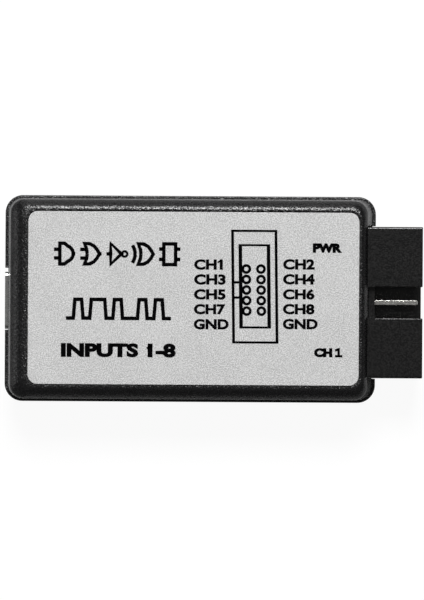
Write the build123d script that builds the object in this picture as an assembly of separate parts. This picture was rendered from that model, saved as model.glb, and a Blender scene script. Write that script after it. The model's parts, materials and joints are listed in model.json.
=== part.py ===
"""Pocket logic analyzer: a two-shell plastic case with a circuit board, a mini USB-B port at one end
and a ten-way keyed box header at the other.

Units are millimetres. The origin is on the surface that the case stands on, midway along the whole
length (header included). +X runs towards the box header, +Z is up towards the label.
"""

from build123d import *
import math
import os

# ---------------------------------------------------------------- case
CASE_LENGTH = 50.0
CASE_WIDTH = 27.8
CASE_HEIGHT = 14.0
CORNER_RADIUS = 2.4
PARTING_Z = 7.5  # where the two shells meet, at the case's widest section
END_DRAFT = 6.0  # degrees, on the lower shell's two short walls
SIDE_DRAFT = 1.6  # degrees, on its two long walls
WALL = 1.8
FLOOR = 1.2
CAVITY_LENGTH = CASE_LENGTH - 2 * WALL
CAVITY_WIDTH = CASE_WIDTH - 2 * WALL
CAVITY_RADIUS = 1.0
FOOT_EDGE = 1.0  # rounding where the lower shell meets the table
RIM_BAND = 0.35  # upright band at the lower shell's rim
RIM_EDGE = 0.15
HEADER_REACH = 6.2  # how far the box header stands out of the case
CASE_X = -HEADER_REACH / 2  # the case's own middle
USB_END_X = CASE_X - CASE_LENGTH / 2
HEADER_END_X = CASE_X + CASE_LENGTH / 2

# upper shell
LEDGE = 0.38  # the upper shell stands this far inside the lower shell's rim
BROW_Z = 12.95  # the crisp edge between wall and shoulder
BROW_INSET = (1.0, 0.52)  # how far inside the lower shell's rim the brow is, at the ends and sides
BROW_SHIFT = (-0.16, -0.1)  # the header end's wall leans in a little more than the others
SHOULDER_START = 45.0  # degrees of the shoulder's ellipse at that edge
SHOULDER_STEPS = 14
BROW_ROUNDING = 0.18
BROW_STEPS = 5
LABEL_SIZE = (44.4, 23.2)
LABEL_RADIUS = 1.3
LABEL_THICKNESS = 0.25
LABEL_SHIFT = (0.46, 0.08)  # the label field lies a little towards the header
LABEL_EDGE = 0.06
RECESS_DEPTH = 0.36
RECESS_GAP = 0.16
RECESS_RIM = 0.12
CEILING_Z = 12.5
RIB_X = (-12.0, 2.5)  # ribs under the ceiling, which hold the board's edges down
RIB_WIDTH = 1.0
RIB_DEPTH = 0.6
WELL_RADIUS = 1.0  # light wells over the two lamps
WELL_WALL = 0.4

# the lower shell's lip, which rises inside the upper shell
LIP_HEIGHT = 1.0
LIP_WIDTH = 0.6
LIP_GAP = 0.1

ROOT = 0.3  # how far a piece reaches into another that it is joined to
CLEAR = 1.0  # how far a cut reaches past what it cuts
TOUCH = 0.01  # places closer than this are the same

# ---------------------------------------------------------------- board
BOARD_UNDERSIDE = 2.4
BOARD_THICKNESS = 1.6
BOARD_Z = BOARD_UNDERSIDE + BOARD_THICKNESS  # the face that carries the parts
BOARD_X = (-26.25, 19.95)
BOARD_WIDTH = 23.4
BOARD_CORNER = 0.8
STANDOFF = 0.1  # air between the board and a chip's body or a rib
PORTS_Y = -0.33  # the port and the box header lie a little to one side of the case's middle

# rests that the board lies on, moulded in the lower shell
REST_X = (-18.0, -5.0, 8.0)
REST_WIDTH = 1.2
REST_OVERLAP = 1.0
END_REST_Y = 7.0
END_REST_REACH = 1.4
BRIDGE_X = (4.0, 5.2)
BRIDGE_LENGTH = 8.0

# pegs of the upper shell in the bosses of the lower shell
PEG_X = (-24.4, 15.8)
PEG_Y = 10.5
PEG_RADIUS = 0.95
PEG_ROOT_RADIUS = 1.6
PEG_ROOT_GAP = 0.25
PEG_TIP_Z = 3.0
BOSS_RADIUS = 1.7
BOSS_BORE = 1.0
BOSS_TOP = 6.5
BOSS_NOTCH = 1.95  # radius of the notch in the board round a boss
PEG_GAP = 0.1  # between a peg's root and its boss
ROOT_Y = CAVITY_WIDTH / 2 - PEG_ROOT_GAP  # how far out the roots and ribs reach
PEG_BEVEL = 0.3

# ---------------------------------------------------------------- box header
PITCH = 2.54
HEADER_PINS = 5
SHROUD_WIDTH = 20.32
SHROUD_HEIGHT = 8.9
SHROUD_DEPTH = 8.9
SHROUD_CAVITY = (17.9, 6.5, 6.4)  # along Y, along Z, depth
SHROUD_CORNER = 0.25
SHROUD_EDGE = 0.12
KEY_WIDTH = 4.2
KEY_RELIEF = 0.1
PIN_SIDE = 0.64
PIN_SETBACK = 0.55  # pin tips behind the shroud's mouth
HEADER_MOUTH_X = HEADER_END_X + HEADER_REACH
SHROUD_BACK_X = HEADER_MOUTH_X - SHROUD_DEPTH
SHROUD_MID_Z = BOARD_Z + SHROUD_HEIGHT / 2
FIRST_BEND = 1.3  # lower pin row's tail behind the shroud
PIN_TAIL_Z = 1.45
DRILL_RADIUS = 0.5
PIN_POINT = 0.18
TAIL_POINT = 0.15
PIN_BEND = 0.3
JOINT_HEIGHT = 0.7  # solder cones under the board
JOINT_RADII = (0.42, 0.8)
OPENING_GAP = 0.15  # between the header's sides and the case
ROOF_GAP = 0.1  # between the header's top and the case

# ---------------------------------------------------------------- mini USB-B port
USB_WIDTH = 7.7
USB_HEIGHT = 3.9
USB_LENGTH = 9.2
USB_SHEET = 0.3
USB_LOW_WIDTH = 6.2  # across the narrow lower half
USB_KNEES = (1.1, 1.9)  # heights where the narrow half widens into the upper one
USB_NOTCH = (-4.29, 4.07)  # the opening in the case, along Y
USB_NOTCH_DROP = 0.7
USB_TAB = (2.7, 1.0)  # sprung tabs in the roof
USB_TAB_GAP = (0.2, 0.25)
USB_TAB_AT = (3.4, 1.9)  # from the port's mouth and from its middle
USB_FEET_AT = (2.4, 7.0)
USB_FOOT = (1.5, 0.5)  # length, and reach beyond the shell
USB_FLOOR_CUT = (1.2, 4.4)  # the floor stops short at the rear, above the contacts' feet
USB_BLOCK_LENGTH = 3.6
USB_TONGUE = (4.2, 0.95)
USB_TONGUE_SETBACK = 0.9
USB_CONTACTS = 5
USB_CONTACT_PITCH = 0.8
USB_CONTACT = (0.36, 0.2)  # width and thickness
USB_CONTACT_SETBACK = 1.3
USB_CONTACT_TAIL = 0.9  # how far its foot reaches out behind the shell

# ---------------------------------------------------------------- chips: sizes, and places x, y
MICROCONTROLLER = {"at": (-3.5, 0.0), "width_x": 7.5, "length_y": 18.4, "height": 2.3}
BUFFER = {"at": (7.2, 0.0), "width_x": 4.4, "length_y": 6.5, "height": 1.0}
MEMORY = {"at": (-12.2, 8.1), "width_x": 3.9, "length_y": 4.9, "height": 1.5}
# reach from the chip's middle, height of the exit, thickness, width, pitch, leads on each side
MICROCONTROLLER_LEADS = (5.15, 1.1, 0.2, 0.26, 0.635, 28)
BUFFER_LEADS = (3.2, 0.55, 0.14, 0.24, 0.65, 10)
MEMORY_LEADS = (3.0, 0.75, 0.2, 0.42, 1.27, 4)
CHIP_BEVEL = 0.2
FIRST_PIN_MARK = {"radius": 0.4, "inset": 0.9, "depth": 0.08}
REGULATOR_AT = (-18.9, 7.9)
REGULATOR_SIZE = (3.5, 6.5, 1.6)
REGULATOR_LEAD = (3.5, 0.75, 0.26)  # reach, height of the exit, thickness
REGULATOR_LEAD_WIDTH = 0.7
REGULATOR_TAB_WIDTH = 3.0
REGULATOR_PITCH = 2.3
REGULATOR_BEVEL = 0.25
CRYSTAL_AT = (-13.3, -2.9)
CRYSTAL_CAN = (10.2, 3.7, 2.9)
CRYSTAL_ROUNDING = 0.5
CRYSTAL_RIM = (11.0, 4.5, 0.4)
CRYSTAL_BASE = (4.6, 11.2, 0.7)
CRYSTAL_LEAD = (0.6, 2.2, 6.3, 0.3)  # width, start and end from the middle, thickness

# ---------------------------------------------------------------- parts with two ends
# length, width, height, and length of each metal end
RESISTOR = (1.6, 0.8, 0.45, 0.3)
CERAMIC = (1.6, 0.8, 0.8, 0.35)
TANTALUM = (3.2, 1.6, 1.6, 0.35)
FUSE = (3.2, 1.6, 0.7, 0.5)
LED = (2.0, 1.25, 0.35, 0.4)
CAP_GROWTH = 0.02  # a metal end is this much larger than the body
CAP_BEVEL = 0.06
LENS = (1.2, 0.5, 0.2)  # side, height and rounding
LED_X = 15.7
POWER_LED_Y = 7.4
CHANNEL_LED_Y = -7.4
RESISTOR_ROW_X = 12.2
FUSE_AT = (-20.6, -6.3)
TANTALUM_AT = [(-20.5, -9.4), (-16.4, -9.4)]
CERAMIC_AT = [
    ("y", -9.9, -10.0),
    ("x", -3.5, 10.4),
    ("x", -3.5, -10.4),
    ("y", 2.9, 5.2),
    ("y", 2.9, -5.2),
    ("x", 7.2, 5.0),
    ("x", 7.2, -5.0),
    ("y", -9.6, 4.1),
    ("x", -16.6, 3.6),
]
PULL_RESISTOR_AT = [("x", 7.2, 7.2), ("x", 11.4, 7.2), ("x", 7.2, -7.2), ("x", 11.4, -7.2)]
RESISTOR_PITCH = 1.27
CHANNELS = 8


def block(x0, x1, y0, y1, z0, z1):
    """A plain box between two corners."""
    middle = Pos((x0 + x1) / 2, (y0 + y1) / 2, (z0 + z1) / 2)
    return middle * Box(x1 - x0, y1 - y0, z1 - z0)


def post(x, y, radius, z0, z1):
    return Pos(x, y, (z0 + z1) / 2) * Cylinder(radius, z1 - z0)


def both_sides(near, far):
    """The span from near to far, on each side of the middle."""
    return [(-far, -near), (near, far)]


def rounded(length, width, radius, z, x=CASE_X, y=0.0):
    """A flat rounded rectangle at height z."""
    return Pos(x, y, z) * RectangleRounded(length, width, radius)


def plate(length, width, radius, z0, z1, x=CASE_X, y=0.0):
    return extrude(rounded(length, width, radius, z0, x, y), z1 - z0)


# ---------------------------------------------------------------- case shells
def lower_outline():
    """The lower shell's outside: walls that lean out to an upright band at the rim."""
    end, side = [PARTING_Z * math.tan(math.radians(draft)) for draft in (END_DRAFT, SIDE_DRAFT)]
    foot = rounded(CASE_LENGTH - 2 * end, CASE_WIDTH - 2 * side, CORNER_RADIUS - side, 0.0)
    rim = rounded(CASE_LENGTH, CASE_WIDTH, CORNER_RADIUS, PARTING_Z)
    body = loft([foot, rim], ruled=True)
    body = fillet(body.edges().group_by(Axis.Z)[0], FOOT_EDGE)
    body += plate(CASE_LENGTH, CASE_WIDTH, CORNER_RADIUS, PARTING_Z - RIM_BAND, PARTING_Z)
    return fillet(body.edges().group_by(Axis.Z)[-1], RIM_EDGE)


def board_rests():
    """Low blocks on the floor along both long walls, beside the port and across the middle."""
    spans = both_sides(BOARD_WIDTH / 2 - REST_OVERLAP, CAVITY_WIDTH / 2 + ROOT)
    half, heights = REST_WIDTH / 2, (FLOOR / 2, BOARD_UNDERSIDE)
    rests = [block(x - half, x + half, *span, *heights) for x in REST_X for span in spans]
    wall_x = USB_END_X + WALL
    for y in (-END_REST_Y, END_REST_Y):
        rests.append(block(wall_x - ROOT, wall_x + END_REST_REACH, y - half, y + half, *heights))
    rests.append(block(*BRIDGE_X, -BRIDGE_LENGTH / 2, BRIDGE_LENGTH / 2, *heights))
    return rests


def lower_shell():
    body = lower_outline()
    lip_size = (CAVITY_LENGTH + 2 * LIP_WIDTH, CAVITY_WIDTH + 2 * LIP_WIDTH, CAVITY_RADIUS + LIP_WIDTH)
    body += plate(*lip_size, PARTING_Z - WALL, PARTING_Z + LIP_HEIGHT)
    body -= plate(CAVITY_LENGTH, CAVITY_WIDTH, CAVITY_RADIUS, FLOOR, CASE_HEIGHT)

    # bosses for the upper shell's pegs
    inside = plate(CAVITY_LENGTH + ROOT, CAVITY_WIDTH + ROOT, CAVITY_RADIUS, FLOOR / 2, BOSS_TOP)
    for x, y in peg_places():
        body += post(x, y, BOSS_RADIUS, FLOOR / 2, BOSS_TOP) & inside
        body -= post(x, y, BOSS_BORE, PEG_TIP_Z - CLEAR, BOSS_TOP + CLEAR)
    for rest in board_rests():
        body += rest

    # openings in the end walls
    body -= header_opening(HEADER_END_X - WALL - CLEAR, BOARD_Z - OPENING_GAP, CASE_HEIGHT)
    body -= usb_opening(BOARD_Z - USB_NOTCH_DROP, CASE_HEIGHT)
    return body


def peg_places():
    return [(x, y) for x in PEG_X for y in (-PEG_Y, PEG_Y)]


def header_opening(back, z0, z1):
    """What is cut out of the end wall for the box header."""
    half = SHROUD_WIDTH / 2 + OPENING_GAP
    return block(back, HEADER_END_X + CLEAR, PORTS_Y - half, PORTS_Y + half, z0, z1)


def usb_opening(z0, z1):
    """What is cut out of the end wall for the port."""
    return block(USB_END_X - CLEAR, USB_END_X + WALL + CLEAR, *USB_NOTCH, z0, z1)


def between(low, high, share):
    return tuple(a + (b - a) * share for a, b in zip(low, high))


def shoulder_section(brow, field, share):
    """A section of the shoulder, whose profile is an elliptical arc from the brow to the label field."""
    start = math.radians(SHOULDER_START)
    angle = start + (math.pi / 2 - start) * share
    run = (math.cos(start) - math.cos(angle)) / math.cos(start)
    rise = (math.sin(angle) - math.sin(start)) / (1 - math.sin(start))
    length, width, radius, _, x, y = between(brow, field, run)
    return (length, width, radius, BROW_Z + (CASE_HEIGHT - BROW_Z) * rise, x, y)


def upper_outline():
    """The upper shell's outside: upright walls to a crisp brow, then a curved shoulder to the label field.

    Each section is a rounded rectangle: length, width, corner radius, height and middle.
    """
    end, side = BROW_INSET
    foot_size = (CASE_LENGTH - 2 * LEDGE, CASE_WIDTH - 2 * LEDGE, CORNER_RADIUS - LEDGE)
    foot = (*foot_size, PARTING_Z, CASE_X, 0.0)
    brow_size = (CASE_LENGTH - 2 * end, CASE_WIDTH - 2 * side, CORNER_RADIUS - side)
    brow = (*brow_size, BROW_Z, CASE_X + BROW_SHIFT[0], BROW_SHIFT[1])
    rim = RECESS_GAP + RECESS_RIM
    field_size = (LABEL_SIZE[0] + 2 * rim, LABEL_SIZE[1] + 2 * rim, LABEL_RADIUS + rim)
    field = (*field_size, CASE_HEIGHT, CASE_X + LABEL_SHIFT[0], LABEL_SHIFT[1])
    shoulder = [shoulder_section(brow, field, (i + 1) / SHOULDER_STEPS) for i in range(SHOULDER_STEPS)]

    # the brow is rounded off between a section just below it and the first section above it
    below, above = between(brow, foot, BROW_ROUNDING / (BROW_Z - PARTING_Z)), shoulder[0]
    rounding = []
    for i in range(BROW_STEPS):
        share = i / (BROW_STEPS - 1)
        rounding.append(between(between(below, brow, share), between(brow, above, share), share))
    return loft([rounded(*section) for section in [foot, *rounding, *shoulder[1:]]], ruled=True)


def upper_shell():
    body = upper_outline()

    # recess that the label lies in
    recess = [s + 2 * RECESS_GAP for s in LABEL_SIZE]
    field_x, field_y = CASE_X + LABEL_SHIFT[0], LABEL_SHIFT[1]
    floor_z = CASE_HEIGHT - RECESS_DEPTH
    body -= plate(*recess, LABEL_RADIUS + RECESS_GAP, floor_z, CASE_HEIGHT + CLEAR, field_x, field_y)

    # hollow inside, with a rebate round the lower shell's lip
    body -= plate(CAVITY_LENGTH, CAVITY_WIDTH, CAVITY_RADIUS, PARTING_Z - CLEAR, CEILING_Z)
    rebate = LIP_WIDTH + LIP_GAP
    rebate_size = (CAVITY_LENGTH + 2 * rebate, CAVITY_WIDTH + 2 * rebate, CAVITY_RADIUS + rebate)
    body -= plate(*rebate_size, PARTING_Z - CLEAR, PARTING_Z + LIP_HEIGHT + LIP_GAP)

    for x, y in peg_places():
        body += peg(x, y)
    for rib in ribs():
        body += rib
    for y in (POWER_LED_Y, CHANNEL_LED_Y):
        body += post(LED_X, y, WELL_RADIUS + WELL_WALL, BOSS_TOP + ROOT, CEILING_Z + ROOT)
        body -= post(LED_X, y, WELL_RADIUS, BOSS_TOP - CLEAR, CASE_HEIGHT)

    # openings for the box header and the port
    opening = header_opening(SHROUD_BACK_X - ROOT, 0, BOARD_Z + SHROUD_HEIGHT + ROOF_GAP)
    body -= opening - key_tongue()
    body -= usb_opening(0, BOARD_Z + USB_HEIGHT + OPENING_GAP)
    return body


def peg(x, y):
    """A peg with a thick root that stops just above its boss and clears the lower shell's lip."""
    room = block(x - CLEAR - PEG_ROOT_RADIUS, x + CLEAR + PEG_ROOT_RADIUS, -ROOT_Y, ROOT_Y, 0, CASE_HEIGHT)
    root = post(x, y, PEG_ROOT_RADIUS, BOSS_TOP + PEG_GAP, CEILING_Z + ROOT) & room
    pin = post(x, y, PEG_RADIUS, PEG_TIP_Z, BOSS_TOP + ROOT)
    return root + chamfer(pin.edges().group_by(Axis.Z)[0], PEG_BEVEL)


def ribs():
    """Ribs that hang from the ceiling over the board's edges, joined to the wall above the lip."""
    made = []
    for x in RIB_X:
        low, high = x - RIB_WIDTH / 2, x + RIB_WIDTH / 2
        for span in both_sides(ROOT_Y - RIB_DEPTH, ROOT_Y):
            made.append(block(low, high, *span, BOARD_Z + STANDOFF, CEILING_Z + ROOT))
        for span in both_sides(ROOT_Y - RIB_DEPTH, ROOT_Y + RIB_DEPTH):
            made.append(block(low, high, *span, PARTING_Z + LIP_HEIGHT + RIB_DEPTH, CEILING_Z + ROOT))
    return made


def key_tongue():
    """A tongue of the end wall that fills the rear of the header's key slot."""
    half = KEY_WIDTH / 2 - KEY_RELIEF
    back = HEADER_END_X - LEDGE - WALL
    low, high = SHROUD_MID_Z + SHROUD_CAVITY[1] / 2, BOARD_Z + SHROUD_HEIGHT + ROOF_GAP
    return block(back, HEADER_END_X + CLEAR, PORTS_Y - half, PORTS_Y + half, low, high)


def top_label():
    x, y = CASE_X + LABEL_SHIFT[0], LABEL_SHIFT[1]
    z = CASE_HEIGHT - RECESS_DEPTH
    label = plate(*LABEL_SIZE, LABEL_RADIUS, z, z + LABEL_THICKNESS, x, y)
    return fillet(label.edges().group_by(Axis.Z)[-1], LABEL_EDGE)


# ---------------------------------------------------------------- circuit board
def pin_tail_x(row):
    """Where a header row's pins turn down: row 0 is the lower row, row 1 the upper."""
    return SHROUD_BACK_X - FIRST_BEND - row * PITCH


def header_pin_z(row):
    return SHROUD_MID_Z + (row - 0.5) * PITCH


def header_pin_ys():
    return [(i - (HEADER_PINS - 1) / 2) * PITCH for i in range(HEADER_PINS)]


def circuit_board():
    middle = sum(BOARD_X) / 2
    board = plate(BOARD_X[1] - BOARD_X[0], BOARD_WIDTH, BOARD_CORNER, BOARD_UNDERSIDE, BOARD_Z, middle)
    for x, y in peg_places():
        board -= post(x, y, BOSS_NOTCH, 0, CASE_HEIGHT)
    for span in both_sides(PEG_Y, BOARD_WIDTH / 2 + CLEAR):
        for x in PEG_X:
            board -= block(x - BOSS_NOTCH, x + BOSS_NOTCH, *span, 0, CASE_HEIGHT)
        board -= block(BOARD_X[0] - CLEAR, PEG_X[0], *span, 0, CASE_HEIGHT)
    for row in (0, 1):
        for y in header_pin_ys():
            board -= post(pin_tail_x(row), y + PORTS_Y, DRILL_RADIUS, 0, CASE_HEIGHT)
    return board


# ---------------------------------------------------------------- box header
def header_shroud():
    half = SHROUD_WIDTH / 2
    body = block(SHROUD_BACK_X, HEADER_MOUTH_X, -half, half, BOARD_Z, BOARD_Z + SHROUD_HEIGHT)
    body = fillet(body.edges().filter_by(Axis.X), SHROUD_CORNER)
    body = fillet(body.faces().sort_by(Axis.X)[-1].edges(), SHROUD_EDGE)
    wide, tall, deep = SHROUD_CAVITY
    cavity_x = HEADER_MOUTH_X - deep
    low, high = SHROUD_MID_Z - tall / 2, SHROUD_MID_Z + tall / 2
    body -= block(cavity_x, HEADER_MOUTH_X + CLEAR, -wide / 2, wide / 2, low, high)
    # key slot through the upper wall
    key = KEY_WIDTH / 2
    body -= block(cavity_x, HEADER_MOUTH_X + CLEAR, -key, key, high - ROOT, CASE_HEIGHT)
    rims = body.edges().filter_by(Axis.X).filter_by_position(Axis.Y, -key - TOUCH, key + TOUCH)
    body = fillet(rims.group_by(Axis.Z)[-1], SHROUD_EDGE)
    # relief at the back of the slot's roof, where the case's tongue lies
    tongue_back = HEADER_END_X - LEDGE - WALL - KEY_RELIEF
    body -= block(tongue_back, cavity_x + KEY_RELIEF, -key, key, high - KEY_RELIEF, CASE_HEIGHT)
    half_pin = PIN_SIDE / 2
    for row in (0, 1):
        z = header_pin_z(row)
        for y in header_pin_ys():
            hole = (y - half_pin, y + half_pin, z - half_pin, z + half_pin)
            body -= block(SHROUD_BACK_X - CLEAR, cavity_x + CLEAR, *hole)
    return body


def header_pin(row, y):
    """One right-angle pin, with its mating tip pointed and its tail through the board."""
    z = header_pin_z(row)
    tip_x, tail_x = HEADER_MOUTH_X - PIN_SETBACK, pin_tail_x(row)
    half = PIN_SIDE / 2
    arm = block(tail_x - half, tip_x, y - half, y + half, z - half, z + half)
    arm = chamfer(arm.faces().sort_by(Axis.X)[-1].edges(), PIN_POINT)
    tail = block(tail_x - half, tail_x + half, y - half, y + half, PIN_TAIL_Z, z + half)
    tail = chamfer(tail.faces().sort_by(Axis.Z)[0].edges(), TAIL_POINT)
    pin = arm + tail
    bend = [e for e in pin.edges().filter_by(Axis.Y) if corner_of_bend(e, tail_x - half, z + half)]
    return fillet(bend, PIN_BEND)


def corner_of_bend(edge, x, z):
    middle = edge.center()
    return abs(middle.X - x) < TOUCH and abs(middle.Z - z) < TOUCH


def header_pins():
    return Compound([header_pin(row, y) for row in (0, 1) for y in header_pin_ys()])


def header_solder_joints():
    joints = []
    for row in (0, 1):
        for y in header_pin_ys():
            place = Pos(pin_tail_x(row), y, BOARD_UNDERSIDE - JOINT_HEIGHT / 2)
            joints.append(place * Cone(*JOINT_RADII, JOINT_HEIGHT) - header_pin(row, y))
    return Compound(joints)


# ---------------------------------------------------------------- mini USB-B port
def usb_profile(inset):
    """The port's cross-section, wide above and narrow below, shrunk by inset all round."""
    top, low = USB_WIDTH / 2 - inset, USB_LOW_WIDTH / 2 - inset
    z0, z1 = BOARD_Z + inset, BOARD_Z + USB_HEIGHT - inset
    knee_low, knee_high = [BOARD_Z + knee + inset * 0.4 for knee in USB_KNEES]
    points = [(-top, z1), (top, z1), (top, knee_high), (low, knee_low)]
    points += [(low, z0), (-low, z0), (-low, knee_low), (-top, knee_high)]
    outline = Plane.YZ * Polygon(*points, align=None)
    return fillet(outline.vertices(), 0.5 - inset * 0.8)


def usb_shell():
    body = extrude(usb_profile(0), USB_LENGTH, dir=(1, 0, 0))
    body -= extrude(usb_profile(USB_SHEET), USB_LENGTH, dir=(1, 0, 0))
    body = Pos(USB_END_X, 0, 0) * body
    # sprung grip tabs cut in the roof
    roof = BOARD_Z + USB_HEIGHT
    x, (length, width), (gap_x, gap_y) = USB_END_X + USB_TAB_AT[0], USB_TAB, USB_TAB_GAP
    for y in (-USB_TAB_AT[1], USB_TAB_AT[1]):
        low, high = y - width / 2, y + width / 2
        body -= block(x, x + length + gap_x, low - gap_y, high + gap_y, roof - CLEAR, roof + CLEAR)
        body += block(x, x + length, low, high, roof - USB_SHEET, roof)
    # the floor is cut short behind, where the contacts go down to the board
    rear, (cut, width) = USB_END_X + USB_LENGTH, USB_FLOOR_CUT
    body -= block(rear - cut, rear + CLEAR, -width / 2, width / 2, BOARD_Z - CLEAR, BOARD_Z + CLEAR)
    # soldered feet
    length, reach = USB_FOOT
    for x in [USB_END_X + at for at in USB_FEET_AT]:
        for span in both_sides(USB_LOW_WIDTH / 2 - ROOT, USB_WIDTH / 2 + reach):
            body += block(x, x + length, *span, BOARD_Z, BOARD_Z + USB_SHEET)
    return body


def usb_contact(y):
    """One contact: a strip on the tongue's underside that runs back and down to its board pad."""
    width, thick = USB_CONTACT
    across = (y - width / 2, y + width / 2)
    z = BOARD_Z + USB_HEIGHT / 2 - USB_TONGUE[1] / 2
    rear = USB_END_X + USB_LENGTH
    back = rear - 2 * ROOT
    strip = block(USB_END_X + USB_CONTACT_SETBACK, back, *across, z, z + thick)
    drop = block(back - thick, back, *across, BOARD_Z, z + thick)
    foot = block(back - thick, rear + USB_CONTACT_TAIL, *across, BOARD_Z, BOARD_Z + thick)
    return strip + drop + foot


def usb_contact_ys():
    return [(i - (USB_CONTACTS - 1) / 2) * USB_CONTACT_PITCH for i in range(USB_CONTACTS)]


def usb_contacts():
    return Compound([usb_contact(y) for y in usb_contact_ys()])


def usb_insulator():
    rear = USB_END_X + USB_LENGTH
    body = extrude(usb_profile(USB_SHEET), USB_BLOCK_LENGTH, dir=(1, 0, 0))
    body = Pos(rear - USB_BLOCK_LENGTH, 0, 0) * body
    wide, thick = USB_TONGUE
    low = BOARD_Z + USB_HEIGHT / 2 - thick / 2
    tongue = block(USB_END_X + USB_TONGUE_SETBACK, rear - CLEAR, -wide / 2, wide / 2, low, low + thick)
    body += chamfer(tongue.faces().sort_by(Axis.X)[0].edges(), PIN_POINT)
    for y in usb_contact_ys():
        body -= usb_contact(y)
    return body


# ---------------------------------------------------------------- chips
def gull_lead(root, reach, exit_z, thickness, width):
    """A bent lead in the XZ plane: out of the body at root, down, and along the board to reach."""
    knee, heel = root + (reach - root) * 0.3, root + (reach - root) * 0.5
    points = [(root, exit_z), (knee, exit_z), (heel, BOARD_Z), (reach, BOARD_Z)]
    points += [(reach, BOARD_Z + thickness), (heel + thickness * 0.6, BOARD_Z + thickness)]
    points += [(knee + thickness * 0.6, exit_z + thickness), (root, exit_z + thickness)]
    side = Plane.XZ * Polygon(*points, align=None)
    return extrude(side, width / 2, both=True)


def chip_leads(chip, reach, exit_height, thickness, width, pitch, count):
    """Two rows of gull-wing leads, on the body's -X and +X sides, spaced along Y."""
    x, y = chip["at"]
    one = gull_lead(chip["width_x"] / 2, reach, BOARD_Z + exit_height, thickness, width)
    leads = []
    for i in range(count):
        place = Pos(x, y + (i - (count - 1) / 2) * pitch, 0)
        leads += [place * one, place * Rot(0, 0, 180) * one]
    return Compound(leads)


def package(at, width_x, length_y, height, bevel):
    """A moulded body with bevelled upper edges, standing just off the board."""
    x, y = at
    low = BOARD_Z + STANDOFF
    body = block(x - width_x / 2, x + width_x / 2, y - length_y / 2, y + length_y / 2, low, low + height)
    return chamfer(body.edges().group_by(Axis.Z)[-1], bevel)


def chip_body(at, width_x, length_y, height):
    """A package with a round mark at its first pin."""
    body = package(at, width_x, length_y, height, min(CHIP_BEVEL, height / 6))
    inset, top = FIRST_PIN_MARK["inset"], BOARD_Z + STANDOFF + height
    x, y = at[0] - width_x / 2 + inset, at[1] + length_y / 2 - inset
    return body - post(x, y, FIRST_PIN_MARK["radius"], top - FIRST_PIN_MARK["depth"], top + CLEAR)


def regulator_leads():
    """Three leads towards the USB end and one broad tab on the other side."""
    x, y = REGULATOR_AT
    reach, exit_height, thickness = REGULATOR_LEAD
    shape = (REGULATOR_SIZE[0] / 2, reach, BOARD_Z + exit_height, thickness)
    lead = Rot(0, 0, 180) * gull_lead(*shape, REGULATOR_LEAD_WIDTH)
    leads = [Pos(x, y + i * REGULATOR_PITCH, 0) * lead for i in (-1, 0, 1)]
    return Compound([*leads, Pos(x, y, 0) * gull_lead(*shape, REGULATOR_TAB_WIDTH)])


# ---------------------------------------------------------------- crystal
def crystal_can():
    """A pressed can with round ends and a flat rim, on its base."""
    place = Pos(*CRYSTAL_AT, BOARD_Z + CRYSTAL_LEAD[3] + CRYSTAL_BASE[2])
    (length, width, height), (rim_length, rim_width, rim_height) = CRYSTAL_CAN, CRYSTAL_RIM
    can = extrude(place * SlotOverall(length, width, rotation=90), height)
    can = fillet(can.edges().group_by(Axis.Z)[-1], CRYSTAL_ROUNDING)
    return can + extrude(place * SlotOverall(rim_length, rim_width, rotation=90), rim_height)


def crystal_base():
    (x, y), (width, length, height) = CRYSTAL_AT, CRYSTAL_BASE
    low = BOARD_Z + CRYSTAL_LEAD[3]
    return block(x - width / 2, x + width / 2, y - length / 2, y + length / 2, low, low + height)


def crystal_leads():
    """Two flat leads under the base, one towards each end."""
    (x, y), (width, start, end, thick) = CRYSTAL_AT, CRYSTAL_LEAD
    leads = [block(-width / 2, width / 2, *span, 0, thick) for span in both_sides(start, end)]
    return Compound([Pos(x, y, BOARD_Z) * lead for lead in leads])


# ---------------------------------------------------------------- two-terminal parts
def turned(shape, direction, x, y):
    return Pos(x, y, BOARD_Z) * (Rot(0, 0, 90) * shape if direction == "y" else shape)


def two_terminal_body(length, width, height, cap):
    half = length / 2 - cap
    return block(-half, half, -width / 2, width / 2, 0, height)


def two_terminal_caps(length, width, height, cap):
    side, top = width / 2 + CAP_GROWTH, height + CAP_GROWTH
    ends = [block(*span, -side, side, 0, top) for span in both_sides(length / 2 - cap, length / 2)]
    return [chamfer(end.edges().filter_by(Axis.Y).group_by(Axis.Z)[-1], CAP_BEVEL) for end in ends]


def placed(shapes, places):
    """Copies of each shape at each (direction, x, y), as one group of separate solids."""
    return Compound([turned(s, *place) for place in places for s in shapes])


def two_terminal_parts():
    """Node name to shape, for every resistor, capacitor and the fuse."""
    middle = (CHANNELS - 1) / 2
    series = [("x", RESISTOR_ROW_X, (i - middle) * RESISTOR_PITCH) for i in range(CHANNELS)]
    tantalum = [("x", *at) for at in TANTALUM_AT]
    groups = {
        ("resistor_bodies", "resistor_terminals"): (RESISTOR, series + PULL_RESISTOR_AT),
        ("ceramic_capacitor_bodies", "ceramic_capacitor_terminals"): (CERAMIC, CERAMIC_AT),
        ("tantalum_capacitor_bodies", "tantalum_capacitor_terminals"): (TANTALUM, tantalum),
        ("resettable_fuse_body", "resettable_fuse_terminals"): (FUSE, [("x", *FUSE_AT)]),
    }
    made = {}
    for (body, caps), (size, places) in groups.items():
        made[body] = placed([two_terminal_body(*size)], places)
        made[caps] = placed(two_terminal_caps(*size), places)
    return made


def lamp_base(y):
    """A lamp's small carrier board with a soldered end on each side, standing across the light well."""
    return turned(two_terminal_body(*LED), "y", LED_X, y)


def lamp_terminals():
    places = [("y", LED_X, POWER_LED_Y), ("y", LED_X, CHANNEL_LED_Y)]
    return placed(two_terminal_caps(*LED), places)


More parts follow.
